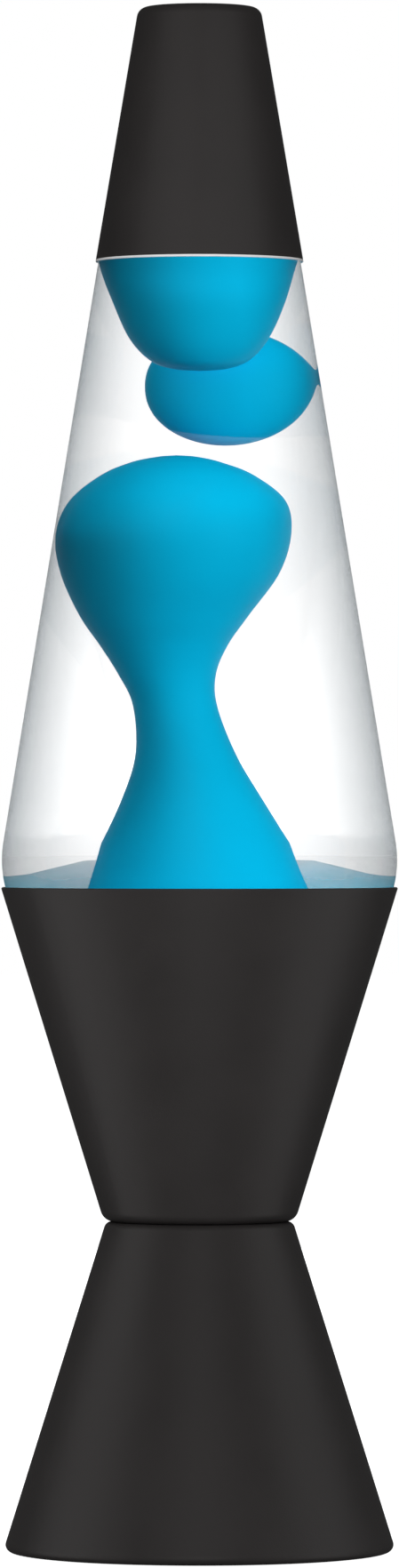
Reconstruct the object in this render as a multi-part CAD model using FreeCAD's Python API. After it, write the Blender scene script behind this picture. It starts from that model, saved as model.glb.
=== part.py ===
import FreeCAD, Part
import math
import os

# A table lamp of the moving-wax kind: a tapered glass globe of liquid and wax stands in a
# two-cone base over a small screw bulb, under a loose metal cap.
# Millimetres. Z is up, the origin is under the centre of the feet, and the cord leaves at +Y.

Vector = FreeCAD.Vector
UP = Vector(0, 0, 1)

# --- Heights and slopes that set the outline -------------------------------------------------
TOTAL_HEIGHT = 368.3
RIM_BOTTOM = 0.8                # the feet stand this far below the rolled rim
WAIST = 79.3                    # where the two cones meet
CRADLE_RIM = 158.2              # top edge of the upper cone
CAP_MOUTH = 307.9               # lower edge of the cap

CONE_WALL = 0.7
LOOSE_FIT = 0.1                 # between a round piece and its hole
LOWER_FOOT_RADIUS = 46.8
LOWER_SLOPE = 0.3125            # radius lost per millimetre of height
UPPER_WAIST_RADIUS = 22.77
UPPER_SLOPE = 0.3083

CAP_WALL = 0.4
CAP_MOUTH_RADIUS = 24.75
CAP_SLOPE = 0.16875

GLASS_WALL = 2.2
GLASS_MOUTH_RADIUS = 24.06      # outside of the glass at the cap's mouth
GLASS_SLOPE = 0.16375
GLASS_FOOT = 131.5              # lowest point of the globe, inside the cradle
GLASS_CRADLE_GAP = 0.3
PUNT_TOP = 137.0                # underside of the globe on the axis
SHOULDER = 322.0
NECK_RADIUS = 12.4
NECK_START = 335.0
FINISH_RADIUS = 13.1            # bead that the crown cap grips
FINISH_START = 350.0
GLASS_TOP = 355.8
LIQUID_LEVEL = 327.0

CROWN_RADIUS = 16.0
CROWN_SHEET = 0.25
LINER = 0.7

# --- Wax: (height, sideways centre, front-to-back centre, radius) -----------------------------
COLUMN_SECTIONS = [
    (140.5, 0.0, 0.0, 21.0),
    (156.0, -0.2, 0.0, 19.6),
    (165.0, -0.6, 0.0, 17.3),
    (177.0, -1.1, 0.0, 12.7),
    (188.0, -2.2, 0.0, 9.1),
    (199.5, -4.2, 0.0, 7.5),
    (210.0, -6.0, 0.0, 9.3),
    (221.0, -6.2, 0.0, 14.7),
    (231.0, -5.5, 0.0, 19.4),
    (240.5, -5.0, 0.0, 21.2),
    (249.5, -4.0, 0.0, 19.2),
    (256.0, -3.5, 0.0, 13.4),
    (259.6, -3.5, 0.0, 4.0),
]
TOP_SECTIONS = [
    (281.2, 0.2, -5.8, 3.5),
    (283.2, 0.2, -5.8, 8.6),
    (288.0, 0.1, -5.6, 12.1),
    (295.7, 0.0, -4.8, 14.9),
    (303.4, -0.2, -3.2, 17.0),
    (311.0, 0.0, -1.4, 18.6),
    (318.0, 0.0, 0.0, 16.0),
]
BLOB_CENTRE = Vector(5.2, 13.0, 277.4)
BLOB_HALF = Vector(12.6, 8.0, 14.2)
BLOB_CLEARANCE = 0.3
POOL_RIM_HEIGHT = 157.0
POOL_CREST_HEIGHT = 162.5
POOL_CREST_RADIUS = 21.0
COIL_RADIUS = 33.0
COIL_TUBE = 2.4
COIL_SHEATH = 0.5

# --- Lamp holder ------------------------------------------------------------------------------
CONE_FLOOR = WAIST + CONE_WALL
GASKET = 0.4
FLANGE_RADIUS = 16.0
FLANGE = 2.0
FLANGE_TOP = CONE_FLOOR + GASKET + FLANGE
BARREL_RADIUS = 12.5
BARREL_BOTTOM = 52.0
HOLDER_BORE = 9.0
HOLDER_FLOOR = 60.0
SHELL_OUTER = 8.95
SHELL_SHEET = 0.3
SHELL_BOTTOM = 62.0
SHELL_TOP = 81.6
LOCK_WASHER = 1.0
RING_NUT = 4.5
RING_NUT_FLATS = 34.0           # across flats
TERMINAL_OFFSET = 7.0
SCREW_SHANK = 1.5
SCREW_HEAD = 3.0
SCREW_HEAD_HEIGHT = 1.8
SCREW_TIP = 57.0
TAG = 0.6
TAG_BARREL_RADIUS = 1.4
TAG_BARREL_OFFSET = 4.6
TAG_BARREL_BOTTOM = 45.5
END_CAP_RADIUS = 13.6
END_CAP_WALL = 0.9
END_CAP_BOTTOM = 36.0
END_CAP_TOP = 56.0
END_CAP_MOUTH = 7.2
LEAD_RADIUS = 1.1
SPLICE_RADIUS = 2.7
SPLICE_LENGTH = 14.0

# --- Bulb -------------------------------------------------------------------------------------
BULB_TIP = 63.5
BULB_LENGTH = 58.7
BULB_RADIUS = 17.5
BULB_GLASS = 0.6
BULB_NECK_RADIUS = 7.7
SCREW_CAP_RADIUS = 8.3
SCREW_CAP_SHEET = 0.3
SCREW_CAP_BOTTOM = BULB_TIP + 4.5
SCREW_CAP_TOP = BULB_TIP + 22.5
EYELET_TOP = BULB_TIP + 1.7
STEM_TOP = 97.0
FILAMENT_HEIGHT = 104.5
FILAMENT_SPAN = 6.5

# --- Bottom plate, feet and cord inlet ----------------------------------------------------------
HEM_INNER = 42.0
HEM_RADIUS = 1.7
PLATE = 1.5
PLATE_SKIRT_TOP = 6.5
PLATE_CONE_GAP = 0.6
VENT_COUNT = 12
VENT_RADIUS = 2.0
VENT_CIRCLE = 20.0
FOOT_COUNT = 4
FOOT_CIRCLE = 31.0
FOOT_RADIUS = 5.5
FOOT_STEM = 2.2
FOOT_HEAD = 3.3
INLET_HEIGHT = 15.0
INLET_HOLE = 5.0
INLET_BORE = 3.1
INLET_FLANGE = 6.8


def moved_sideways(corners, gap):
    """Return an open outline of (radius, height, fillet) corners, moved to its left by gap."""
    points = [Vector(corner[0], corner[1], 0) for corner in corners]
    runs = [(end - start).normalize() for start, end in zip(points, points[1:])]
    result = []
    for index, (point, corner) in enumerate(zip(points, corners)):
        before = runs[max(index - 1, 0)]
        after = runs[min(index, len(runs) - 1)]
        side = Vector(-before.y - after.y, before.x + after.x, 0).normalize()
        reach = gap / side.dot(Vector(-before.y, before.x, 0))
        turn = before.cross(after).z
        fillet = max(corner[2] - math.copysign(gap, turn), 0) if corner[2] and turn else 0
        shifted = point + side * reach
        result.append((shifted.x, shifted.y, fillet))
    return result


def outline(corners):
    """Return a closed wire in the XZ plane through (radius, height, fillet) corners."""
    points = [Vector(corner[0], 0, corner[1]) for corner in corners]
    starts, ends, arcs = [], [], []
    for index, corner in enumerate(corners):
        before = (points[index] - points[index - 1]).normalize()
        after = (points[(index + 1) % len(points)] - points[index]).normalize()
        half_turn = before.getAngle(after) / 2
        if not corner[2]:
            starts.append(points[index])
            ends.append(points[index])
            arcs.append(None)
            continue
        reach = corner[2] * math.tan(half_turn)
        inward = (after - before).normalize()
        middle = points[index] + inward * (corner[2] / math.cos(half_turn) - corner[2])
        starts.append(points[index] - before * reach)
        ends.append(points[index] + after * reach)
        arcs.append(Part.Arc(starts[-1], middle, ends[-1]).toShape())
    edges = []
    for index, arc in enumerate(arcs):
        if arc:
            edges.append(arc)
        following = starts[(index + 1) % len(starts)]
        if ends[index].distanceToPoint(following) > 1e-6:
            edges.append(Part.LineSegment(ends[index], following).toShape())
    return Part.Wire(edges)


def turned(corners):
    """Spin a closed outline of (radius, height, fillet) corners about the lamp's axis."""
    return Part.Face(outline(corners)).revolve(Vector(), UP, 360)


def spun_shell(corners, wall):
    """Spin a sheet of even thickness whose outer side is the open outline."""
    return turned(corners + moved_sideways(corners, wall)[::-1])


def disc(radius, bottom, top, x=0, y=0):
    return Part.makeCylinder(radius, top - bottom, Vector(x, y, bottom))


def ring(outer, inner, bottom, top):
    return disc(outer, bottom, top).cut(disc(inner, bottom, top))


def around(count, circle, first_angle):
    """Return evenly spaced (x, y) places on a circle."""
    angles = [math.radians(first_angle + 360 * index / count) for index in range(count)]
    return [(circle * math.cos(angle), circle * math.sin(angle)) for angle in angles]


def routed_tube(points, radius):
    """Return a round rod along straight runs joined by tangent arcs."""
    edges = []
    start = points[0]
    for before, corner, after in zip(points, points[1:], points[2:]):
        into = (corner - before).normalize()
        out = (after - corner).normalize()
        half_turn = into.getAngle(out) / 2
        reach = 0.45 * min(before.distanceToPoint(corner), corner.distanceToPoint(after))
        bend = reach / math.tan(half_turn)
        inward = (out - into).normalize()
        arc_start = corner - into * reach
        arc_end = corner + out * reach
        middle = corner + inward * (bend / math.cos(half_turn) - bend)
        edges.append(Part.LineSegment(start, arc_start).toShape())
        edges.append(Part.Arc(arc_start, middle, arc_end).toShape())
        start = arc_end
    edges.append(Part.LineSegment(start, points[-1]).toShape())
    section = Part.Wire([Part.Circle(points[0], points[1] - points[0], radius).toShape()])
    return Part.Wire(edges).makePipeShell([section], True, True)


def wax_body(sections):
    """Return a smooth body through level circles of (height, x, y, radius)."""
    circles = [
        Part.Wire([Part.Circle(Vector(x, y, height), UP, radius).toShape()])
        for height, x, y, radius in sections
    ]
    return Part.makeLoft(circles, True, False)


def blob(extra=0.0):
    ball = Part.makeSphere(1)
    stretch = FreeCAD.Matrix()
    stretch.scale(BLOB_HALF + Vector(extra, extra, extra))
    stretch.move(BLOB_CENTRE)
    return ball.transformGeometry(stretch)


# --- Cap and globe ------------------------------------------------------------------------------
def cap():
    top_radius = CAP_MOUTH_RADIUS - CAP_SLOPE * (TOTAL_HEIGHT - CAP_MOUTH)
    return spun_shell([
        (CAP_MOUTH_RADIUS, CAP_MOUTH, 0),
        (top_radius, TOTAL_HEIGHT, 2.6),
        (0, TOTAL_HEIGHT, 0),
    ], CAP_WALL)


def cradle_inside(height):
    """Radius of the upper cone's inner face."""
    outer = UPPER_WAIST_RADIUS + UPPER_SLOPE * (height - WAIST)
    return outer - CONE_WALL * math.hypot(1, UPPER_SLOPE)


def globe_outline():
    """Outside of the glass from the punt to the neck."""
    foot_radius = cradle_inside(GLASS_FOOT) - GLASS_CRADLE_GAP
    glass_axis_radius = GLASS_MOUTH_RADIUS + GLASS_SLOPE * (CAP_MOUTH - GLASS_FOOT)
    rise = (glass_axis_radius - foot_radius) / (UPPER_SLOPE + GLASS_SLOPE)
    shoulder_radius = GLASS_MOUTH_RADIUS - GLASS_SLOPE * (SHOULDER - CAP_MOUTH)
    return [
        (0, PUNT_TOP, 0),
        (14, PUNT_TOP, 25),
        (31, GLASS_FOOT, 4),
        (foot_radius, GLASS_FOOT, 5),
        (foot_radius + UPPER_SLOPE * rise, GLASS_FOOT + rise, 26),
        (shoulder_radius, SHOULDER, 8),
        (NECK_RADIUS, NECK_START, 5),
    ]


def globe_cavity():
    inside = moved_sideways(globe_outline() + [(NECK_RADIUS, GLASS_TOP, 0)], GLASS_WALL)
    return turned(inside + [(0, GLASS_TOP, 0)])


def globe():
    body = turned(globe_outline() + [
        (NECK_RADIUS, FINISH_START - 0.8, 0.5),
        (FINISH_RADIUS, FINISH_START, 0.4),
        (FINISH_RADIUS, GLASS_TOP, 1.0),
        (0, GLASS_TOP, 0),
    ])
    return body.cut(globe_cavity())


def crown_cap():
    top = GLASS_TOP + LINER + CROWN_SHEET
    return spun_shell([
        (CROWN_RADIUS, top - 6.0, 0),
        (CROWN_RADIUS - 0.9, top - 5.2, 0.8),
        (FINISH_RADIUS + 1.4, top, 1.8),
        (0, top, 0),
    ], CROWN_SHEET)


def crown_liner():
    return disc(FINISH_RADIUS - 0.2, GLASS_TOP, GLASS_TOP + LINER)


# --- What the globe holds -------------------------------------------------------------------------
def wax_column():
    return wax_body(COLUMN_SECTIONS)


def wax_top():
    return wax_body(TOP_SECTIONS)


def coil_ring(tube):
    seat = GLASS_FOOT + GLASS_WALL + COIL_TUBE + 0.3
    return Part.makeTorus(COIL_RADIUS, tube, Vector(0, 0, seat))


def heat_coil():
    return coil_ring(COIL_TUBE).cut(coil_ring(COIL_TUBE - COIL_SHEATH))


def wax_pool(column):
    layer = turned([
        (0, GLASS_FOOT, 0),
        (CRADLE_RIM / 3, GLASS_FOOT, 0),
        (CRADLE_RIM / 3, POOL_RIM_HEIGHT, 0),
        (34, POOL_RIM_HEIGHT, 20),
        (POOL_CREST_RADIUS, POOL_CREST_HEIGHT, 3),
        (0, POOL_CREST_HEIGHT, 0),
    ])
    return globe_cavity().common(layer).cut(column).cut(coil_ring(COIL_TUBE))


def liquid(column, top, pool):
    above = disc(60, LIQUID_LEVEL, GLASS_TOP + 1)
    fill = globe_cavity().cut(above)
    for piece in (column, top, pool, coil_ring(COIL_TUBE), blob(BLOB_CLEARANCE)):
        fill = fill.cut(piece)
    return fill


# --- Base -----------------------------------------------------------------------------------------
def lower_radius(height):
    """Radius of the lower cone's outer face."""
    return LOWER_FOOT_RADIUS - LOWER_SLOPE * (height - RIM_BOTTOM)


def at_inlet(shape):
    """Place a shape made along +Z from the origin square to the lower cone's rear wall."""
    tilt = 90 - math.degrees(math.atan(LOWER_SLOPE))
    shape.rotate(Vector(), Vector(1, 0, 0), -tilt)
    shape.translate(Vector(0, lower_radius(INLET_HEIGHT), INLET_HEIGHT))
    return shape


def base_lower_cone():
    body = spun_shell([
        (HEM_INNER, RIM_BOTTOM, 0),
        (LOWER_FOOT_RADIUS, RIM_BOTTOM, HEM_RADIUS),
        (lower_radius(WAIST), WAIST, 1.8),
        (BARREL_RADIUS + LOOSE_FIT, WAIST, 0),
    ], CONE_WALL)
    return body.cut(at_inlet(disc(INLET_HOLE, -3, 3)))


def base_upper_cone():
    rim_radius = UPPER_WAIST_RADIUS + UPPER_SLOPE * (CRADLE_RIM - WAIST)
    return spun_shell([
        (BARREL_RADIUS + LOOSE_FIT, WAIST, 0),
        (UPPER_WAIST_RADIUS, WAIST, 3.4),
        (rim_radius, CRADLE_RIM, 0),
    ], CONE_WALL)


def bottom_plate():
    bottom = RIM_BOTTOM + CONE_WALL
    inset = CONE_WALL * math.hypot(1, LOWER_SLOPE) + PLATE_CONE_GAP
    plate = spun_shell([
        (0, bottom, 0),
        (lower_radius(bottom) - inset, bottom, 1.6),
        (lower_radius(PLATE_SKIRT_TOP) - inset, PLATE_SKIRT_TOP, 0),
    ], PLATE)
    for x, y in around(VENT_COUNT, VENT_CIRCLE, 0):
        plate = plate.cut(disc(VENT_RADIUS, 0, 9, x, y))
    for x, y in around(FOOT_COUNT, FOOT_CIRCLE, 45):
        plate = plate.cut(disc(FOOT_STEM + LOOSE_FIT, 0, 9, x, y))
    return plate


def rubber_feet():
    seat = RIM_BOTTOM + CONE_WALL
    foot = turned([
        (0, 0, 0),
        (FOOT_RADIUS, 0, 0.4),
        (FOOT_RADIUS, seat, 0.2),
        (FOOT_STEM, seat, 0),
        (FOOT_STEM, seat + PLATE, 0),
        (FOOT_HEAD, seat + PLATE, 0),
        (FOOT_STEM - 0.4, seat + PLATE + 2.2, 0.6),
        (0, seat + PLATE + 2.2, 0),
    ])
    feet = []
    for x, y in around(FOOT_COUNT, FOOT_CIRCLE, 45):
        copy = foot.copy()
        copy.translate(Vector(x, y, 0))
        feet.append(copy)
    return Part.makeCompound(feet)


def cord_grommet():
    inner_seat = -CONE_WALL - 0.6
    return at_inlet(turned([
        (INLET_BORE, inner_seat - 1.8, 0),
        (INLET_FLANGE, inner_seat - 1.8, 0.5),
        (INLET_FLANGE, inner_seat, 0),
        (INLET_HOLE - LOOSE_FIT, inner_seat, 0),
        (INLET_HOLE - LOOSE_FIT, 0, 0),
        (INLET_FLANGE, 0, 0),
        (INLET_FLANGE, 2.0, 0.9),
        (INLET_BORE, 2.0, 0.5),
    ]))


# --- Lamp holder ------------------------------------------------------------------------------------
def socket_body():
    under_flange = CONE_FLOOR + GASKET
    body = turned([
        (0, BARREL_BOTTOM, 0),
        (BARREL_RADIUS, BARREL_BOTTOM, 0.6),
        (BARREL_RADIUS, under_flange, 0),
        (FLANGE_RADIUS, under_flange, 0.3),
        (FLANGE_RADIUS, FLANGE_TOP, 0.8),
        (HOLDER_BORE, FLANGE_TOP, 0.4),
        (HOLDER_BORE, HOLDER_FLOOR, 0),
        (0, HOLDER_FLOOR, 0),
    ])
    for x in (-TERMINAL_OFFSET, TERMINAL_OFFSET):
        body = body.cut(disc(SCREW_SHANK, BARREL_BOTTOM, SCREW_TIP, x))
    return body


def socket_gasket():
    return ring(FLANGE_RADIUS, BARREL_RADIUS + LOOSE_FIT, CONE_FLOOR, CONE_FLOOR + GASKET)


def socket_lock_washer():
    """Flat ring with teeth round its edge."""
    top = WAIST - CONE_WALL
    washer = ring(FLANGE_RADIUS + 1, BARREL_RADIUS + LOOSE_FIT, top - LOCK_WASHER, top)
    for x, y in around(16, FLANGE_RADIUS + 1.2, 0):
        washer = washer.cut(disc(1.1, top - LOCK_WASHER, top, x, y))
    return washer


def socket_ring_nut():
    top = WAIST - CONE_WALL - LOCK_WASHER
    corner_radius = RING_NUT_FLATS / 2 / math.cos(math.pi / 6)
    corners = [Vector(x, y, top - RING_NUT) for x, y in around(6, corner_radius, 0)]
    prism = Part.Face(Part.makePolygon(corners + corners[:1])).extrude(UP * RING_NUT)
    return prism.cut(disc(BARREL_RADIUS + LOOSE_FIT, 0, top))


def socket_shell():
    return spun_shell([
        (5.0, SHELL_BOTTOM, 0),
        (SHELL_OUTER, SHELL_BOTTOM, 0.6),
        (SHELL_OUTER, SHELL_TOP, 0),
    ], SHELL_SHEET)


def socket_contact():
    """Spring tongue, bent up from a flat foot towards the bulb's tip."""
    sheet = 0.4
    bends = [
        (-6.0, HOLDER_FLOOR),
        (-3.0, HOLDER_FLOOR),
        (-1.4, BULB_TIP - 0.3 - sheet),
        (1.8, BULB_TIP - 0.3 - sheet),
        (3.2, BULB_TIP - 1.6),
    ]
    lower = [Vector(x, -2.5, z) for x, z in bends]
    upper = [point + UP * sheet for point in lower[::-1]]
    profile = Part.makePolygon(lower + upper + lower[:1])
    return Part.Face(profile).extrude(Vector(0, 5, 0))


def terminal_screws():
    head_top = BARREL_BOTTOM - TAG
    screws = []
    for x in (-TERMINAL_OFFSET, TERMINAL_OFFSET):
        head = disc(SCREW_HEAD, head_top - SCREW_HEAD_HEIGHT, head_top, x)
        slot = Part.makeBox(
            2 * SCREW_HEAD, 0.8, 0.9,
            Vector(x - SCREW_HEAD, -0.4, head_top - SCREW_HEAD_HEIGHT),
        )
        screws.append(head.fuse(disc(SCREW_SHANK, head_top, SCREW_TIP, x)).cut(slot))
    return Part.makeCompound(screws)


def lead_tags():
    """Ring tags under the screws, each with a crimp barrel that points down."""
    tags = []
    for x in (-TERMINAL_OFFSET, TERMINAL_OFFSET):
        top = BARREL_BOTTOM
        eye = disc(SCREW_HEAD + 0.2, top - TAG, top, x)
        strip = Part.makeBox(
            2 * TAG_BARREL_RADIUS, TAG_BARREL_OFFSET, TAG,
            Vector(x - TAG_BARREL_RADIUS, 0, top - TAG),
        )
        barrel = disc(TAG_BARREL_RADIUS, TAG_BARREL_BOTTOM, top, x, TAG_BARREL_OFFSET)
        hole = disc(SCREW_SHANK, top - TAG, top, x)
        tags.append(eye.fuse([strip, barrel]).cut(hole))
    return Part.makeCompound(tags)


def socket_end_cap():
    return spun_shell([
        (END_CAP_MOUTH, END_CAP_BOTTOM, 0),
        (END_CAP_RADIUS, END_CAP_BOTTOM, 1.5),
        (END_CAP_RADIUS, END_CAP_TOP, 0),
    ], END_CAP_WALL)


def lead_route(side):
    """Points of one lead, from its tag down through the end cap and back to the inlet."""
    return [
        Vector(side * TERMINAL_OFFSET, TAG_BARREL_OFFSET, TAG_BARREL_BOTTOM),
        Vector(side * TERMINAL_OFFSET, TAG_BARREL_OFFSET, 40.0),
        Vector(side * 2.2, 1.2, 33.5),
        Vector(side * 2.4, 4.5, 26.0),
        Vector(side * 3.8, 11.0, 21.5),
        Vector(side * 5.0, 19.0, 20.5),
    ]


def lead(side):
    return routed_tube(lead_route(side), LEAD_RADIUS)


def splice_caps():
    """Closed crimp caps on the free ends of the leads."""
    caps = []
    for side in (-1, 1):
        before, end = lead_route(side)[-2:]
        axis = (end - before).normalize()
        caps.append(Part.makeCylinder(SPLICE_RADIUS, SPLICE_LENGTH - SPLICE_RADIUS, end, axis))
        dome = Part.makeSphere(SPLICE_RADIUS, end + axis * (SPLICE_LENGTH - SPLICE_RADIUS))
        caps[-1] = caps[-1].fuse(dome).removeSplitter()
    return Part.makeCompound(caps)


# --- Bulb ---------------------------------------------------------------------------------------------
def bulb_envelope():
    top = BULB_TIP + BULB_LENGTH
    return spun_shell([
        (BULB_NECK_RADIUS, SCREW_CAP_TOP - 7, 0),
        (BULB_NECK_RADIUS, SCREW_CAP_TOP + 1.5, 5),
        (BULB_RADIUS, top - 21.7, 12),
        (BULB_RADIUS, top, BULB_RADIUS - 0.1),
        (0, top, 0),
    ], BULB_GLASS)


def bulb_stem():
    """Glass foot of the bulb, flared into the neck and pinched round the wires."""
    bottom = SCREW_CAP_TOP - 6
    flare = BULB_NECK_RADIUS - BULB_GLASS - LOOSE_FIT
    return turned([
        (0, bottom, 0),
        (flare, bottom, 0),
        (flare, bottom + 1, 0),
        (3.0, bottom + 5, 3),
        (2.4, STEM_TOP, 0.8),
        (0, STEM_TOP, 0),
    ])


def bulb_support_wires():
    wires = []
    for side in (-1, 1):
        wires.append(routed_tube([
            Vector(side * 1.1, 0, STEM_TOP),
            Vector(side * 1.1, 0, STEM_TOP + 2.5),
            Vector(side * FILAMENT_SPAN, 0, FILAMENT_HEIGHT),
        ], 0.3))
    return Part.makeCompound(wires)


def bulb_filament():
    lift = 0.4
    return routed_tube([
        Vector(-FILAMENT_SPAN - 0.3, 0, FILAMENT_HEIGHT + lift),
        Vector(-FILAMENT_SPAN / 2, 1.4, FILAMENT_HEIGHT + lift + 1.5),
        Vector(FILAMENT_SPAN / 2, 1.4, FILAMENT_HEIGHT + lift + 1.5),
        Vector(FILAMENT_SPAN + 0.3, 0, FILAMENT_HEIGHT + lift),
    ], 0.35)


def bulb_screw_cap():
    return spun_shell([
        (5.5, SCREW_CAP_BOTTOM, 0),
        (SCREW_CAP_RADIUS, SCREW_CAP_BOTTOM, 1.0),
        (SCREW_CAP_RADIUS, SCREW_CAP_TOP, 0),
    ], SCREW_CAP_SHEET)


def bulb_insulator():
    return turned([
        (0, EYELET_TOP, 0),
        (3.2, EYELET_TOP, 0),
        (7.2, SCREW_CAP_BOTTOM, 0),
        (0, SCREW_CAP_BOTTOM, 0),
    ])


def bulb_contact():
    return turned([
        (0, BULB_TIP, 0),
        (2.4, BULB_TIP, 1.0),
        (2.4, EYELET_TOP, 0),
        (0, EYELET_TOP, 0),
    ])


column_shape = wax_column()
top_shape = wax_top()
pool_shape = wax_pool(column_shape)

NODES = {
    "cap": cap(),
    "globe": globe(),
    "crown_cap": crown_cap(),
    "crown_liner": crown_liner(),
    "liquid": liquid(column_shape, top_shape, pool_shape),
    "wax_column": column_shape,
    "wax_top": top_shape,
    "wax_pool": pool_shape,
    "wax_blob": blob(),
    "heat_coil": heat_coil(),
    "base_upper_cone": base_upper_cone(),
    "base_lower_cone": base_lower_cone(),
    "bottom_plate": bottom_plate(),
    "rubber_feet": rubber_feet(),
    "cord_grommet": cord_grommet(),
    "socket_body": socket_body(),
    "socket_gasket": socket_gasket(),
    "socket_lock_washer": socket_lock_washer(),
    "socket_ring_nut": socket_ring_nut(),
    "socket_shell": socket_shell(),
    "socket_contact": socket_contact(),
    "socket_end_cap": socket_end_cap(),
    "terminal_screws": terminal_screws(),
    "lead_tags": lead_tags(),
    "lead_line": lead(-1),
    "lead_neutral": lead(1),
    "splice_caps": splice_caps(),
    "bulb_envelope": bulb_envelope(),
    "bulb_stem": bulb_stem(),
    "bulb_support_wires": bulb_support_wires(),
    "bulb_filament": bulb_filament(),
    "bulb_screw_cap": bulb_screw_cap(),
    "bulb_insulator": bulb_insulator(),
    "bulb_contact": bulb_contact(),
}

os.makedirs("parts", exist_ok=True)
for name, shape in NODES.items():
    shape.exportStep("parts/" + name + ".step")
    print(f"{name:20s} solids {len(shape.Solids)} valid {shape.isValid()} {shape.Volume:10.1f} mm3")
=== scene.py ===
import bmesh
import bpy
import math
import numpy as np
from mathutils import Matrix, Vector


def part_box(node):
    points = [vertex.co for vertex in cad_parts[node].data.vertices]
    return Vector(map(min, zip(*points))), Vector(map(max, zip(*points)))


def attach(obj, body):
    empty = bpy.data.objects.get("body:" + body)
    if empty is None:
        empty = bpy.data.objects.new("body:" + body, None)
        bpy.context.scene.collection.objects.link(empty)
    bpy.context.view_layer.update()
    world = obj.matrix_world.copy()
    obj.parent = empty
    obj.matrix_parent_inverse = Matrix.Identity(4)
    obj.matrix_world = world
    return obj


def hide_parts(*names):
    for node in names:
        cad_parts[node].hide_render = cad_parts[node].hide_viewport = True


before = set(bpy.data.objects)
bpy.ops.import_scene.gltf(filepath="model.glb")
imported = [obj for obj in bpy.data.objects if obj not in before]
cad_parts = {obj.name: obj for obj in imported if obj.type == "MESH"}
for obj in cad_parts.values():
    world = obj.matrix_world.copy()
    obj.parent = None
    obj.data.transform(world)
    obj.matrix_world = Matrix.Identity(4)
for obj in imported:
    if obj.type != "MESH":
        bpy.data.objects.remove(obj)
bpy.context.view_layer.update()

# --- Lower cone -----------------------------------------------------------------------------------
# Spun from thin aluminium sheet, with its bottom edge rolled round the bottom plate, and sprayed
# satin black. It is clamped to the upper cone by the lamp holder.


class Socket:
    """One output in a material. Sums and products of sockets and numbers add Math nodes."""

    def __init__(self, paint, link):
        self.paint = paint
        self.link = link

    def math(self, operation, *values):
        return self.paint.node("ShaderNodeMath", {"operation": operation}, dict(enumerate(values)))

    def __add__(self, other):
        return self.math("ADD", self, other)

    def __sub__(self, other):
        return self.math("SUBTRACT", self, other)

    def __rsub__(self, other):
        return self.math("SUBTRACT", other, self)

    def __mul__(self, other):
        return self.math("MULTIPLY", self, other)

    __radd__ = __add__
    __rmul__ = __mul__


class Paint:
    """A material round one Principled shader. Constants go straight on the shader's sockets."""

    def __init__(self, name, **constants):
        self.material = bpy.data.materials.new(name)
        self.material.use_nodes = True
        self.tree = self.material.node_tree
        self.shader = self.tree.nodes["Principled BSDF"]
        for socket, value in constants.items():
            self.shader.inputs[socket.replace("_", " ")].default_value = value

    def node(self, kind, settings=None, values=None, output=0):
        made = self.tree.nodes.new(kind)
        for setting, value in (settings or {}).items():
            if setting == "stops":
                ramp = made.color_ramp.elements
                while len(ramp) < len(value):
                    ramp.new(0.5)
                for stop, (place, colour) in zip(ramp, value):
                    stop.position = place
                    stop.color = (*colour, 1)
            else:
                setattr(made, setting, value)
        for socket, value in (values or {}).items():
            if isinstance(value, Socket):
                self.tree.links.new(value.link, made.inputs[socket])
            else:
                made.inputs[socket].default_value = value
        return Socket(self, made.outputs[output])

    def place(self):
        return self.node("ShaderNodeTexCoord", output="Object")

    def noise(self, scale, detail=2.0, rough=0.5, stretch=(1, 1, 1)):
        where = self.node("ShaderNodeMapping", None, {"Vector": self.place(), "Scale": stretch})
        return self.node("ShaderNodeTexNoise", None,
                         {"Vector": where, "Scale": scale, "Detail": detail, "Roughness": rough})

    def mix(self, amount, low, high):
        low, high = [v if isinstance(v, Socket) else (*v, 1) for v in (low, high)]
        return self.node("ShaderNodeMix", {"data_type": "RGBA"}, {0: amount, 6: low, 7: high}, 2)

    def ramp(self, amount, low, high, first, last):
        """The value first where amount is at or under low, last at or over high, even between."""
        return self.node("ShaderNodeMapRange", None,
                         {"Value": amount, 1: low, 2: high, 3: first, 4: last})

    def bump(self, height, strength, depth):
        normal = self.node("ShaderNodeBump", None,
                           {"Strength": strength, "Distance": depth, "Height": height})
        self.feed(Normal=normal)

    def feed(self, **links):
        for socket, value in links.items():
            self.tree.links.new(value.link, self.shader.inputs[socket.replace("_", " ")])


def black_paint(name, highlight_under=0.0):
    """Satin black spray over spun metal: a fine peel, faint turning rings, and a slight mottle.
    Under the height given the colour turns near-white: a painted highlight for light seen under the edge
    of the cap."""
    paint = Paint(name, Specular_IOR_Level=0.20)
    mottle = paint.noise(60, 3)
    peel = paint.noise(2600, 2)
    rings = paint.noise(900, 1, 0.5, (0.02, 0.02, 1))
    height = paint.node("ShaderNodeSeparateXYZ", None, {0: paint.place()}, 2)
    # Painted highlight: under the height given, the colour turns near-white.
    painted_highlight = paint.ramp(height, highlight_under - 0.00005, highlight_under, 1, 0)
    black = paint.mix(mottle, (0.0240, 0.0220, 0.0215), (0.0330, 0.0300, 0.0295))
    paint.feed(
        Base_Color=paint.mix(painted_highlight, black, (0.85, 0.85, 0.86)),
        Roughness=paint.ramp(mottle + peel * 0.4, 0.45, 0.95, 0.42, 0.52),
    )
    paint.bump(peel + rings * 0.35, 0.35, 0.00006)
    return paint.material


PAINT = black_paint("black_paint")
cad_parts["base_lower_cone"].material_slots[0].material = PAINT

# --- Upper cone -----------------------------------------------------------------------------------
# The cradle that the globe wedges into: the same spun sheet, open at the top, with a softly
# rounded corner where its floor meets the wall.
MM = 0.001
CONE_WALL = 0.7
UPPER_SLOPE = 0.3083
HOLDER_HOLE = 12.6
CRADLE_WAIST = 22.77


def span(node):
    """Bottom, top and outer radius of a round CAD node, in millimetres."""
    low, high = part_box(node)
    return low.z / MM, high.z / MM, (high.x - low.x) / 2 / MM


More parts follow.
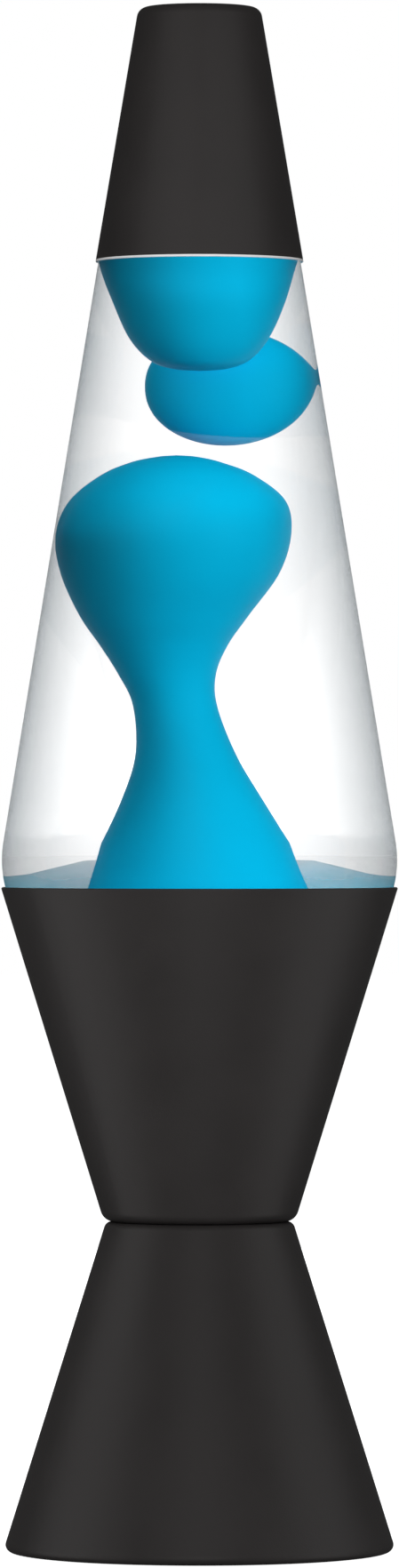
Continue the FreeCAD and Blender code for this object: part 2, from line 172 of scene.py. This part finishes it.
def rounded(corners, steps=10):
    """Open outline through (radius, height, fillet) corners. A fillet is the arc that touches both
    runs: its points are the slerp between the arc's first and last radius vectors."""
    points = np.array([corner[:2] for corner in corners], float)
    pieces = [points[:1]]
    share = np.linspace(0, 1, steps)[:, None]
    for before, point, after, corner in zip(points, points[1:], points[2:], corners[1:]):
        into = (point - before) / np.linalg.norm(point - before)
        out = (after - point) / np.linalg.norm(after - point)
        turn = math.acos(np.clip(into @ out, -1, 1))
        if not corner[2] or turn < 1e-6:
            pieces.append(point[None])
            continue
        reach = corner[2] * math.tan(turn / 2)
        inward = (out - into) / np.linalg.norm(out - into)
        centre = point + inward * corner[2] / math.cos(turn / 2)
        start, end = point - into * reach - centre, point + out * reach - centre
        swing = np.sin((1 - share) * turn) * start + np.sin(share * turn) * end
        pieces.append(centre + swing / math.sin(turn))
    pieces.append(points[-1:])
    return np.concatenate(pieces)


def side_of(outline):
    """Unit vectors to the left of an outline, from its central differences."""
    along = np.gradient(outline, axis=0)
    along /= np.linalg.norm(along, axis=1)[:, None]
    return np.stack([-along[:, 1], along[:, 0]], 1)


def sheet(corners, wall, steps=10):
    """Closed outline of a sheet: the open outline, then the same one moved to its left by the wall,
    backwards. A free edge is a half circle; an end on the axis is left square."""
    outer = rounded(corners, steps)
    left = side_of(outer)
    inner = outer + wall * left
    swing = np.linspace(0, math.pi, 7)[1:-1, None]
    pieces = [outer]
    for end, direction in ((-1, 1), (0, -1)):
        along = direction * np.array([left[end][1], -left[end][0]])
        middle = (outer[end] + inner[end]) / 2
        across = direction * left[end] * wall / 2
        edge = middle - across * np.cos(swing) + along * np.sin(swing) * wall / 2
        if outer[end][0] > 1e-6:
            pieces.append(edge)
        if end == -1:
            pieces.append(inner[::-1])
    return np.concatenate(pieces)


def spun(outline, around=180):
    """Surface of revolution in millimetres: x = r cos t, y = r sin t, z = height."""
    turn = np.linspace(0, 2 * math.pi, around, endpoint=False)
    radius, height = outline[:, 0, None], outline[:, 1, None]
    return (radius * np.cos(turn), radius * np.sin(turn), height + 0 * turn)


def piece(name, body, material, grids, replaces=(), sharp=40):
    """Mesh of one or more grids of points, each (x, y, z, closed both ways or one way). Quads join
    neighbours; a row that meets at one point is merged into a pole; faces are turned outwards."""
    points, faces, start = [], [], 0
    for x, y, z, loop in grids:
        rows, columns = np.broadcast(x, y, z).shape
        points.append(np.stack(np.broadcast_arrays(x, y, z), -1).reshape(-1, 3))
        across = np.arange(columns)
        down = np.arange(rows if loop else rows - 1)[:, None]
        here, there = down % rows * columns, (down + 1) % rows * columns
        right = (across + 1) % columns
        quads = np.stack([here + across, here + right, there + right, there + across], -1)
        faces.append(quads.reshape(-1, 4) + start)
        start += rows * columns
    mesh = bpy.data.meshes.new(name)
    mesh.from_pydata(np.concatenate(points) * MM, [], np.concatenate(faces).tolist())
    work = bmesh.new()
    work.from_mesh(mesh)
    bmesh.ops.remove_doubles(work, verts=work.verts, dist=2e-7)
    bmesh.ops.recalc_face_normals(work, faces=work.faces)
    work.to_mesh(mesh)
    work.free()
    mesh.shade_smooth()
    mesh.set_sharp_from_angle(angle=math.radians(sharp))
    mesh.materials.append(material)
    made = bpy.data.objects.new(name, mesh)
    bpy.context.scene.collection.objects.link(made)
    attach(made, body)
    if replaces:
        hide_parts(*replaces)
    return made


waist_z, rim_z, _ = span("base_upper_cone")
cradle_rim = CRADLE_WAIST + UPPER_SLOPE * (rim_z - waist_z)

upper_cone = piece("upper_cone_sheet", "base", PAINT, [(*spun(sheet([
    (HOLDER_HOLE, waist_z, 0),
    (CRADLE_WAIST, waist_z, 3.4),
    (cradle_rim, rim_z, 0),
], CONE_WALL, 14), 240), True)], ("base_upper_cone",))

# --- Cap ------------------------------------------------------------------------------------------
# Thinner spun aluminium in the same black, closed at the top with a small radius. It hangs loose
# on the shoulder of the globe and hides the bottle closure.
CAP_WALL = 0.4
CAP_SLOPE = 0.16875
# Height of the painted highlight, a near-white band along the cap's mouth.
HIGHLIGHT_LIP = 0.35
mouth_z, cap_top, mouth_radius = span("cap")
cap_top_radius = mouth_radius - CAP_SLOPE * (cap_top - mouth_z)

CAP_PAINT = black_paint("cap_paint", (mouth_z + HIGHLIGHT_LIP) * MM)
cap = piece("cap_sheet", "cap", CAP_PAINT, [(*spun(sheet([
    (mouth_radius, mouth_z, 0),
    (cap_top_radius, cap_top, 2.6),
    (0, cap_top, 0),
], CAP_WALL, 14), 240), True)], ("cap",))

# --- Globe ----------------------------------------------------------------------------------------
# A moulded clear bottle: a dished foot, a rounded bulge over the cradle's rim, a long taper, a
# shoulder, and a neck with the bead that the closure grips.
GLASS_WALL = 2.2
GLASS_SLOPE = 0.16375
GLASS_GAP = 0.3
NECK_RADIUS = 12.4
BEAD_RADIUS = 13.1
SHOULDER_Z = 322.0
GLASS_AT_CAP = 24.06
FOOT_DISH = 5.5
glass_foot, glass_top, _ = span("globe")


def globe_corners():
    """Outside of the bottle from the middle of its foot to the start of the neck."""
    cradle = CRADLE_WAIST + UPPER_SLOPE * (glass_foot - waist_z) - CONE_WALL * math.hypot(1, UPPER_SLOPE)
    foot = cradle - GLASS_GAP
    taper = GLASS_AT_CAP + GLASS_SLOPE * (mouth_z - glass_foot)
    rise = (taper - foot) / (UPPER_SLOPE + GLASS_SLOPE)
    return [
        (0, glass_foot + FOOT_DISH, 0),
        (14, glass_foot + FOOT_DISH, 25),
        (31, glass_foot, 4),
        (foot, glass_foot, 5),
        (foot + UPPER_SLOPE * rise, glass_foot + rise, 26),
        (GLASS_AT_CAP - GLASS_SLOPE * (SHOULDER_Z - mouth_z), SHOULDER_Z, 8),
        (NECK_RADIUS, 335, 5),
        (NECK_RADIUS, glass_top, 0),
    ]


def divided(outline, step):
    """The outline with its long runs cut into equal lengths no longer than the step."""
    runs = np.diff(outline, axis=0)
    cuts = np.maximum(1, np.ceil(np.linalg.norm(runs, axis=1) / step)).astype(int)
    shares = [np.arange(count)[:, None] / count for count in cuts]
    pieces = [point + run * share for point, run, share in zip(outline, runs, shares)]
    return np.concatenate([*pieces, outline[-1:]])


outside = divided(rounded(globe_corners(), 18), 4)
inside = outside + GLASS_WALL * side_of(outside)
bead = rounded([(NECK_RADIUS, 341, 0), (NECK_RADIUS, 349.2, 0.5), (BEAD_RADIUS, 350, 0.4),
                (BEAD_RADIUS, glass_top, 1.0), (NECK_RADIUS - GLASS_WALL, glass_top, 0)], 6)
bottle = np.concatenate([outside[:-1], bead, inside[::-1][1:]])


def clear(name, ior, from_facing, to_facing, edge, gloss=0.0):
    """Clear stuff that bends light, with painted shade towards its edges: there the refraction's colour
    turns from white to the grey edge tint as the surface turns aslant. Its outer side mirrors by
    Fresnel's share times gloss, and from within, the share that would be thrown back passes straight on."""
    stuff = Paint(name)
    facing = stuff.node("ShaderNodeLayerWeight", None, {"Blend": 0.5}, "Facing")
    depth = stuff.ramp(facing, from_facing, to_facing, 0, 1)
    # Painted shade: the second refraction carries the grey edge tint, and the facing ramp mixes it in
    # towards the edges.
    thin, shaded_edge = [
        stuff.node("ShaderNodeBsdfRefraction", None, {"Color": (*tint, 1), "Roughness": 0, "IOR": ior})
        for tint in ((1, 1, 1), edge)
    ]
    bend = stuff.node("ShaderNodeMixShader", None, {0: depth, 1: thin, 2: shaded_edge})
    mirror = stuff.node("ShaderNodeBsdfGlossy", None, {"Roughness": 0.02})
    within = stuff.node("ShaderNodeNewGeometry", output="Backfacing")
    share = stuff.node("ShaderNodeFresnel", None, {"IOR": ior})
    front = stuff.node("ShaderNodeMixShader", None, {0: share * (1 - within) * gloss, 1: bend, 2: mirror})
    straight = stuff.node("ShaderNodeBsdfTransparent")
    both = stuff.node("ShaderNodeMixShader", None, {0: share * within, 1: front, 2: straight})
    stuff.tree.links.new(both.link, stuff.tree.nodes["Material Output"].inputs["Surface"])
    stuff.tree.nodes.remove(stuff.shader)
    return stuff.material


# The globe's grey edge tint is painted shade.
globe = piece("globe_glass", "globe",
              clear("clear_glass", 1.5, 0.10, 0.84, (0.53, 0.55, 0.562), 0.35),
              [(*spun(bottle, 240), False)], ("globe",))
globe.visible_shadow = False

# --- Liquid ---------------------------------------------------------------------------------------
# Clear liquid that fills the bottle to the shoulder. Its skin lies just inside the glass, so that no
# film of air shows between them.
OVERLAP = 0.4
_, level_z, _ = span("liquid")
liquid_wall = inside - OVERLAP * side_of(outside)
liquid_wall = liquid_wall[liquid_wall[:, 1] < level_z]
liquid_wall = np.concatenate([liquid_wall, [[liquid_wall[-1][0], level_z], [0, level_z]]])
liquid_wall[0][0] = 0

# The liquid's pale grey edge tint is painted shade.
liquid = piece("liquid_fill", "globe",
               clear("lamp_liquid", 1.36, 0.05, 0.5, (0.895, 0.910, 0.918)),
               [(*spun(liquid_wall, 240), False)], ("liquid",))
liquid.visible_shadow = False

# --- Wax ------------------------------------------------------------------------------------------
# Four bodies of blue wax: a column that rises from the foot and swells to a head, a free blob, a
# mass that hangs under the cap, and the thin pale rest that lies round the column's foot.


def smooth_through(points, steps=12):
    """Cardinal spline through the points: cubic Hermite spans whose slopes are half the chord
    between a point's neighbours."""
    points = np.array(points, float)
    padded = np.concatenate([2 * points[:1] - points[1:2], points, 2 * points[-1:] - points[-2:-1]])
    slope = (padded[2:] - padded[:-2]) / 2
    t = np.linspace(0, 1, steps, endpoint=False)[None, :, None]
    low, high = points[:-1, None], points[1:, None]
    from_low, from_high = slope[:-1, None], slope[1:, None]
    curve = ((2 * t**3 - 3 * t**2 + 1) * low + (t**3 - 2 * t**2 + t) * from_low
             + (3 * t**2 - 2 * t**3) * high + (t**3 - t**2) * from_high)
    return np.concatenate([curve.reshape(-1, points.shape[1]), points[-1:]])


def wax_form(sections, around=160):
    """Level circles of (height, x, y, radius) carried along a smooth line through the sections."""
    height, across, depth, radius = smooth_through(sections).T[:, :, None]
    turn = np.linspace(0, 2 * math.pi, around, endpoint=False)
    radius = np.maximum(radius, 0)
    return (across + radius * np.cos(turn), depth + radius * np.sin(turn), height + 0 * turn, False)


def wax_paint():
    paint = Paint("blue_wax", Specular_IOR_Level=0.06, Roughness=0.5)
    cloud = paint.noise(45, 3, 0.5, (1, 1, 0.6))
    paint.feed(Base_Color=paint.mix(cloud, (0.0, 0.41, 0.68), (0.0, 0.47, 0.76)))
    paint.bump(paint.noise(160, 2), 0.12, 0.0003)
    return paint.material


WAX = wax_paint()
column_foot, _, _ = span("wax_column")
COLUMN = [
    (column_foot, 0, 0, 0), (column_foot + 0.3, 0, 0, 23.0), (154, 0, 0, 22.6), (159.1, -0.1, 0, 20.8),
    (165.6, -0.6, 0, 17.3), (177.6, -1.3, 0, 12.4), (188.6, -2.45, 0, 8.8), (200.1, -4.3, 0, 7.4),
    (207.6, -5.7, 0, 8.6), (214.6, -6.3, 0, 11.3), (221.6, -6.3, 0, 14.9), (231.6, -5.4, 0, 19.3),
    (241.1, -5.0, 0, 21.0), (249.1, -4.1, 0, 19.1), (255.2, -4.0, 0, 13.5), (258.3, -4.2, 0, 7.9),
    (259.6, -4.0, 0, 3.4), (259.95, -4.0, 0, 0),
]
piece("wax_column_body", "globe", WAX, [wax_form(COLUMN)], ("wax_column",))

TOP_MASS = [
    (280.1, 0, -5.8, 0), (280.7, 0, -5.8, 5.2), (282.8, 0, -5.8, 9.4), (288.1, -0.1, -5.6, 13.2),
    (296.3, -0.1, -4.8, 16.2), (304, -0.4, -2.6, 17.9), (311.6, -0.4, -1.0, 19.0), (316.8, 0, 0, 17),
    (318, 0, 0, 0),
]
top_mass = piece("wax_top_mass", "globe", WAX, [wax_form(TOP_MASS)], ("wax_top",))

BLOB_CENTRE = (3.9, 12.6, 276)
BLOB_HALF = (12, 8, 14)
BLOB_FULLNESS = 2.2

# A little fuller than an ellipsoid: at the share h of its half height, a ring has the share
# sqrt(1 - |h|^fullness) of the half width and half depth.
rise = np.sin(np.linspace(-math.pi / 2, math.pi / 2, 60))[:, None]
turn = np.linspace(0, 2 * math.pi, 120, endpoint=False)
ring = np.sqrt(1 - np.abs(rise) ** BLOB_FULLNESS)
free_blob = piece("wax_free_blob", "blob", WAX, [(
    BLOB_CENTRE[0] + BLOB_HALF[0] * ring * np.cos(turn),
    BLOB_CENTRE[1] + BLOB_HALF[1] * ring * np.sin(turn),
    BLOB_CENTRE[2] + BLOB_HALF[2] * rise + 0 * turn,
    False,
)], ("wax_blob",))

thin = Paint("thin_wax", Specular_IOR_Level=0.12, Roughness=0.5)
streaks = thin.noise(150, 4, 0.6, (1, 1, 3))
height = thin.node("ShaderNodeSeparateXYZ", None, {0: thin.place()}, 2)
thin.feed(
    Base_Color=thin.mix(streaks, (0.0, 0.41, 0.58), (0.02, 0.49, 0.68)),
    Alpha=thin.ramp(height + streaks * 0.003, 0.1590, 0.1668, 0.85, 0.30),
)
RIM = 162.4
CREST = 165.2
SUNK = 157.6
bed = inside + 0.3 * side_of(outside)
bed = bed[bed[:, 1] < RIM]
bed[0][0] = 0
rest = rounded([(bed[-1][0], RIM, 0), (31, 163.4, 12), (20, CREST, 8), (0, CREST, 0)], 10)
x, y, z = spun(np.concatenate([bed, rest[1:]]), 200)

# It banks up only behind the column: from y = 4 to -4 a smoothstep lowers it below the cradle's rim.
bank = np.clip(y / 8 + 0.5, 0, 1)
z = np.where(z > SUNK, SUNK + (z - SUNK) * bank**2 * (3 - 2 * bank), z)
piece("wax_pool_layer", "globe", thin.material, [(x, y, z, False)], ("wax_pool",))

# --- Bottle closure -------------------------------------------------------------------------------
# A plain pressed crown of tinned steel with 21 flutes, over a soft plastic disc, crimped on to the
# bead of the neck. The cap hides it.
FLUTES = 21
FLUTE_DEPTH = 0.7
CROWN_SHEET = 0.25
SKIRT = 6.0


def finish(name, low, high, rough, metal=0.0, grain=200, relief=0.1):
    """A plain finish: a colour and a gloss that drift between two values, and a fine relief."""
    paint = Paint(name, Metallic=metal)
    drift = paint.noise(grain, 3)
    paint.feed(
        Base_Color=paint.mix(paint.ramp(drift, 0.3, 0.7, 0, 1), low, high),
        Roughness=paint.ramp(drift, 0.3, 0.7, *rough),
    )
    paint.bump(paint.noise(grain * 6, 2), relief, 0.00005)
    return paint.material


def fluted(outline, count, depth, top, bottom, around=336):
    """Surface of revolution whose radius gains depth * w * cos(count * t), where w grows as a
    smoothstep from the height top down to the height bottom."""
    turn = np.linspace(0, 2 * math.pi, around, endpoint=False)
    radius, height = outline[:, 0, None], outline[:, 1, None]
    share = np.clip((top - height) / (top - bottom), 0, 1)
    radius = radius + depth * share**2 * (3 - 2 * share) * np.cos(count * turn)
    return (radius * np.cos(turn), radius * np.sin(turn), height + 0 * turn)


_, crown_top, crown_radius = span("crown_cap")
crown = sheet([
    (crown_radius - FLUTE_DEPTH, crown_top - SKIRT, 0),
    (15.0, crown_top - 4.8, 0.8),
    (14.6, crown_top, 1.8),
    (0, crown_top, 0),
], CROWN_SHEET, 8)
piece("crown_closure", "globe",
      finish("crown_steel", (0.50, 0.49, 0.46), (0.62, 0.60, 0.56), (0.22, 0.34), 1.0),
      [(*fluted(crown, FLUTES, FLUTE_DEPTH, crown_top - 1.6, crown_top - SKIRT), True)],
      ("crown_cap",))
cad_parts["crown_liner"].material_slots[0].material = finish(
    "liner_plastic", (0.52, 0.53, 0.53), (0.62, 0.62, 0.61), (0.40, 0.55))

# --- Heat spring ----------------------------------------------------------------------------------
# A long spring of thin steel wire, bent into a ring, that lies loose on the bottle's floor and
# spreads the heat.
SPRING_TURNS = 108
SPRING_WIRE = 0.38


def wire(path, radius, toward, sides=8, closed=True):
    """Round tube along a path. Each ring is p + r (n cos a + b sin a), where n is the part of
    toward that is square to the path and b is square to both."""
    if closed:
        along = np.roll(path, -1, 0) - np.roll(path, 1, 0)
    else:
        along = np.gradient(path, axis=0)
    along /= np.linalg.norm(along, axis=1)[:, None]
    normal = toward - (toward * along).sum(1)[:, None] * along
    normal /= np.linalg.norm(normal, axis=1)[:, None]
    other = np.cross(along, normal)
    angle = np.linspace(0, 2 * math.pi, sides, endpoint=False)[:, None]
    if not closed:
        ends = np.array([0, *[1] * len(path), 0])[:, None, None]
        path, normal, other = [np.concatenate([v[:1], v, v[-1:]]) for v in (path, normal, other)]
        radius = radius * ends
    ring = path[:, None] + radius * (normal[:, None] * np.cos(angle) + other[:, None] * np.sin(angle))
    return (ring[..., 0], ring[..., 1], ring[..., 2], closed)


coil_low, coil_high, coil_outer = span("heat_coil")
coil_tube = (coil_high - coil_low) / 2 - SPRING_WIRE
coil_radius = coil_outer - (coil_high - coil_low) / 2
around_ring = np.linspace(0, 2 * math.pi, SPRING_TURNS * 18, endpoint=False)
winding = SPRING_TURNS * around_ring
out_by = coil_radius + coil_tube * np.cos(winding)
spring = np.stack([out_by * np.cos(around_ring), out_by * np.sin(around_ring),
                   (coil_low + coil_high) / 2 + coil_tube * np.sin(winding)], 1)
middle = np.stack([coil_radius * np.cos(around_ring), coil_radius * np.sin(around_ring),
                   0 * around_ring + (coil_low + coil_high) / 2], 1)
STEEL = finish("plated_steel", (0.46, 0.46, 0.45), (0.60, 0.60, 0.58), (0.25, 0.42), 1.0)
piece("heat_spring", "globe", STEEL,
      [wire(spring, SPRING_WIRE, spring - middle)], ("heat_coil",))

# --- Bulb -----------------------------------------------------------------------------------------
# A small clear bulb: blown envelope, flared stem with a filament on two wires, and a rolled metal
# cap whose thread turns in the holder.
THREAD_PITCH = 2.822
THREAD_DEPTH = 0.16
ENVELOPE_NECK = 7.7
ENVELOPE_RADIUS = 17.5
BULB_LENGTH = 58.7
BULB_CAP_RADIUS = 8.1
FILAMENT_TURNS = 46
bulb_tip, _, _ = span("bulb_contact")


def threaded(outline, bottom, top, around=120):
    """Surface of revolution with a rolled thread: the radius gains d * w * cos(2 pi z / p - t),
    where w fades in and out over one millimetre at the ends of the thread."""
    turn = np.linspace(0, 2 * math.pi, around, endpoint=False)
    radius, height = outline[:, 0, None], outline[:, 1, None]
    share = np.clip(np.minimum(height - bottom, top - height), 0, 1)
    wave = np.cos(2 * math.pi * height / THREAD_PITCH - turn)
    radius = radius + THREAD_DEPTH * share**2 * (3 - 2 * share) * wave
    return (radius * np.cos(turn), radius * np.sin(turn), height + 0 * turn)


# The bulb glass's grey edge tint is painted shade.
envelope = piece("bulb_blown_glass", "bulb",
                 clear("bulb_glass", 1.45, 0.2, 0.9, (0.66, 0.70, 0.72), 1.0), [(*spun(sheet([
    (ENVELOPE_NECK, bulb_tip + 15.5, 0),
    (ENVELOPE_NECK, bulb_tip + 24.0, 5),
    (ENVELOPE_RADIUS, bulb_tip + 37.0, 12),
    (ENVELOPE_RADIUS, bulb_tip + BULB_LENGTH, 17.4),
    (0, bulb_tip + BULB_LENGTH, 0),
], 0.6, 18), 120), True)], ("bulb_envelope",))
envelope.visible_shadow = False
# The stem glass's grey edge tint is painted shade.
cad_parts["bulb_stem"].material_slots[0].material = clear(
    "stem_glass", 1.45, 0.1, 0.9, (0.70, 0.74, 0.75), 1.0)

TUNGSTEN = finish("tungsten", (0.16, 0.16, 0.17), (0.24, 0.24, 0.24), (0.35, 0.5), 1.0, 900)
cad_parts["bulb_support_wires"].material_slots[0].material = TUNGSTEN
low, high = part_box("bulb_filament")
reach = (high.x - low.x) / 2 / MM
run = np.linspace(-1, 1, FILAMENT_TURNS * 14)
bow = 1 - run**2
line = np.stack([reach * run, 1.5 * bow, low.z / MM + 0.45 + 1.6 * bow], 1)
curl = FILAMENT_TURNS * math.pi * run
across = np.stack([0 * run, np.cos(curl), np.sin(curl)], 1)
piece("bulb_coiled_filament", "bulb", TUNGSTEN,
      [wire(line + 0.32 * across, 0.07, across, 6, False)], ("bulb_filament",))

piece("bulb_threaded_cap", "bulb",
      finish("bulb_cap_metal", (0.62, 0.62, 0.62), (0.74, 0.74, 0.73), (0.24, 0.36), 1.0),
      [(*threaded(divided(sheet([
          (5.5, bulb_tip + 4.5, 0),
          (BULB_CAP_RADIUS, bulb_tip + 4.5, 1.0),
          (BULB_CAP_RADIUS, bulb_tip + 22.5, 0),
      ], 0.3, 6), 0.35), bulb_tip + 6.5, bulb_tip + 20), True)], ("bulb_screw_cap",))
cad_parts["bulb_insulator"].material_slots[0].material = finish(
    "vitrite", (0.012, 0.012, 0.014), (0.022, 0.021, 0.024), (0.12, 0.22))
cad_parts["bulb_contact"].material_slots[0].material = finish(
    "solder", (0.40, 0.40, 0.41), (0.55, 0.55, 0.55), (0.35, 0.5), 1.0)

# --- Lamp holder ----------------------------------------------------------------------------------
# A moulded holder stands in both cones' floors: its flange sits on a fibre ring above them, and a
# ring nut with a toothed washer pulls it down from below.
HOLDER_SHELL_RADIUS = 8.75
HOLDER_SHELL_FOOT = 62.0
BRASS = finish("brass", (0.58, 0.40, 0.16), (0.70, 0.50, 0.22), (0.25, 0.42), 1.0)
_, shell_top, _ = span("socket_shell")
piece("holder_threaded_shell", "base", BRASS, [(*threaded(divided(sheet([
    (5.0, HOLDER_SHELL_FOOT, 0),
    (HOLDER_SHELL_RADIUS, HOLDER_SHELL_FOOT, 0.6),
    (HOLDER_SHELL_RADIUS, shell_top, 0),
], 0.2, 6), 0.35), HOLDER_SHELL_FOOT + 2, shell_top - 1), True)], ("socket_shell",))
PHENOLIC = finish("black_plastic", (0.014, 0.013, 0.013), (0.026, 0.024, 0.023), (0.32, 0.5), 0.0, 90)
FIBRE = finish("pressed_fibre", (0.10, 0.055, 0.035), (0.16, 0.09, 0.055), (0.6, 0.8), 0.0, 260, 0.35)
RUBBER = finish("black_rubber", (0.012, 0.012, 0.012), (0.022, 0.022, 0.022), (0.62, 0.82), 0.0, 160, 0.3)
for node, material in {
    "socket_body": PHENOLIC,
    "bottom_plate": PHENOLIC,
    "socket_gasket": FIBRE,
    "socket_end_cap": FIBRE,
    "socket_lock_washer": STEEL,
    "socket_ring_nut": STEEL,
    "socket_contact": BRASS,
    "terminal_screws": BRASS,
    "lead_tags": BRASS,
    "rubber_feet": RUBBER,
    "cord_grommet": RUBBER,
    "lead_line": finish("black_insulation", (0.012, 0.012, 0.012), (0.02, 0.02, 0.02), (0.35, 0.5)),
    "lead_neutral": finish("white_insulation", (0.66, 0.66, 0.64), (0.76, 0.76, 0.74), (0.35, 0.5)),
    "splice_caps": finish("splice_nylon", (0.55, 0.54, 0.48), (0.66, 0.65, 0.60), (0.3, 0.45)),
}.items():
    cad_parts[node].material_slots[0].material = material

# --- Studio ---------------------------------------------------------------------------------------
# A white table that runs into a white background, seen level from 2.3 m with a long lens. Five soft
# boxes light all but the paint, mostly from the right and from above. The paint has boxes of its
# own, and the tall ones at the sides and in front draw soft bands on it.
SENSOR = 36
DISTANCE = 2.33
LIFT = 0.178
AIM = 0.1834
FRAME_HEIGHT = 0.3732

camera = bpy.data.objects.new("camera", bpy.data.cameras.new("camera"))
bpy.context.scene.collection.objects.link(camera)
camera.location = (0, -DISTANCE, LIFT)
camera.rotation_euler = (math.pi / 2 + math.atan((AIM - LIFT) / DISTANCE), 0, 0)
camera.data.sensor_width = SENSOR
camera.data.lens = SENSOR * DISTANCE / FRAME_HEIGHT
camera.data.clip_end = 60
bpy.context.scene.camera = camera
bpy.context.scene.view_settings.view_transform = "Standard"

bpy.ops.mesh.primitive_plane_add(size=16)
floor = bpy.context.object
floor.name = "floor"
table = Paint("white_table", Roughness=0.7, Specular_IOR_Level=0.1, Emission_Strength=1.04)
table_top = table.mix(table.noise(3), (0.42, 0.42, 0.42), (0.46, 0.46, 0.46))
stray = table.node("ShaderNodeLightPath", output="Diffuse Depth")
table.feed(
    Base_Color=table.mix(stray, table_top, (0, 0, 0)),
    Emission_Color=table.mix(stray, (1, 1, 1), (0.08, 0.08, 0.08)),
)
floor.data.materials.append(table.material)
floor.visible_diffuse = False
floor.visible_glossy = False

painted = [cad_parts["base_lower_cone"], upper_cone, cap]


def softbox(name, azimuth, elevation, distance, width, height, radiance, only=(), never=()):
    """Rectangular lamp at a compass angle from the viewer's side, aimed at the object's middle. It
    lights only, or all but, the pieces given. Where it isn't for the paint alone, the cap, the wax
    that hangs under it and the free blob throw no shadow."""
    lamp = bpy.data.lights.new(name, "AREA")
    lamp.shape = "RECTANGLE"
    lamp.size = width
    lamp.size_y = height
    lamp.energy = radiance * math.pi * width * height
    box = bpy.data.objects.new(name, lamp)
    bpy.context.scene.collection.objects.link(box)
    turn, tilt = math.radians(azimuth), math.radians(elevation)
    box.location = (
        distance * math.sin(turn) * math.cos(tilt),
        -distance * math.cos(turn) * math.cos(tilt),
        AIM + distance * math.sin(tilt),
    )
    box.rotation_euler = (math.pi / 2 - tilt, 0, turn)
    box.visible_transmission = False
    box.visible_camera = False
    lit, shade = [bpy.data.collections.new(name + part) for part in ("_lit", "_shade")]
    for made in (*only, *never):
        lit.objects.link(made)
    for made in (cap, top_mass, free_blob):
        shade.objects.link(made)
    for entry in lit.collection_objects:
        entry.light_linking.link_state = "INCLUDE" if only else "EXCLUDE"
    for entry in shade.collection_objects:
        entry.light_linking.link_state = "EXCLUDE"
    box.light_linking.receiver_collection = lit
    if never:
        box.light_linking.blocker_collection = shade
    return box


for name, azimuth, elevation, side, radiance in (
    ("key", 50, -4, 1.2, 8.5),
    ("overhead", 0, 88, 0.6, 12),
    ("front", -10, 35, 1.2, 1.5),
    ("fill", -60, -14, 2.2, 0.75),
    ("back", 180, 5, 1.2, 2.5),
):
    box = softbox(name, azimuth, elevation, 1.6, side, side, radiance, never=painted)
    box.visible_glossy = False
softbox("band_left", -82, 0, 1.2, 1.1, 1.8, 1.2, only=painted[:2])
softbox("band_right", 82, 0, 1.2, 1.1, 1.8, 1.1, only=painted[:2])
softbox("band_front", 0, 0, 1.6, 0.5, 1.8, 1.5, only=painted[:2])
softbox("paint_fill", 0, 10, 1.6, 1.2, 1.2, 3.2, only=painted).visible_glossy = False
softbox("cradle_fill", 0, -35, 1.6, 1.2, 1.2, 1.1, only=painted[1:2]).visible_glossy = False
softbox("back_fill", 180, 5, 1.6, 1.2, 1.2, 2.8, only=painted).visible_glossy = False
softbox("cap_left", -40, 0, 1.4, 1.6, 1.8, 0.95, only=painted[2:])
softbox("cap_right", 48, 0, 1.4, 1.6, 1.8, 0.95, only=painted[2:])

# The background is white to the eye and through glass, and dimmer as a source of light.
world = bpy.data.worlds.new("studio")
bpy.context.scene.world = world
world.use_nodes = True
nodes, links = world.node_tree.nodes, world.node_tree.links
nodes.clear()
rays = nodes.new("ShaderNodeLightPath")
seen = nodes.new("ShaderNodeMath")
seen.operation = "MAXIMUM"
links.new(rays.outputs["Is Camera Ray"], seen.inputs[0])
links.new(rays.outputs["Is Transmission Ray"], seen.inputs[1])
scattered = nodes.new("ShaderNodeMath")
scattered.operation = "ADD"
links.new(rays.outputs["Diffuse Depth"], scattered.inputs[0])
links.new(rays.outputs["Glossy Depth"], scattered.inputs[1])
straight = nodes.new("ShaderNodeMath")
straight.operation = "SUBTRACT"
straight.use_clamp = True
links.new(seen.outputs[0], straight.inputs[0])
links.new(scattered.outputs[0], straight.inputs[1])
ambient, white = nodes.new("ShaderNodeBackground"), nodes.new("ShaderNodeBackground")
ambient.inputs["Strength"].default_value = 0.10
white.inputs["Color"].default_value = (1, 1, 1, 1)
either, out = nodes.new("ShaderNodeMixShader"), nodes.new("ShaderNodeOutputWorld")
links.new(straight.outputs[0], either.inputs[0])
links.new(ambient.outputs[0], either.inputs[1])
links.new(white.outputs[0], either.inputs[2])
links.new(either.outputs[0], out.inputs[0])
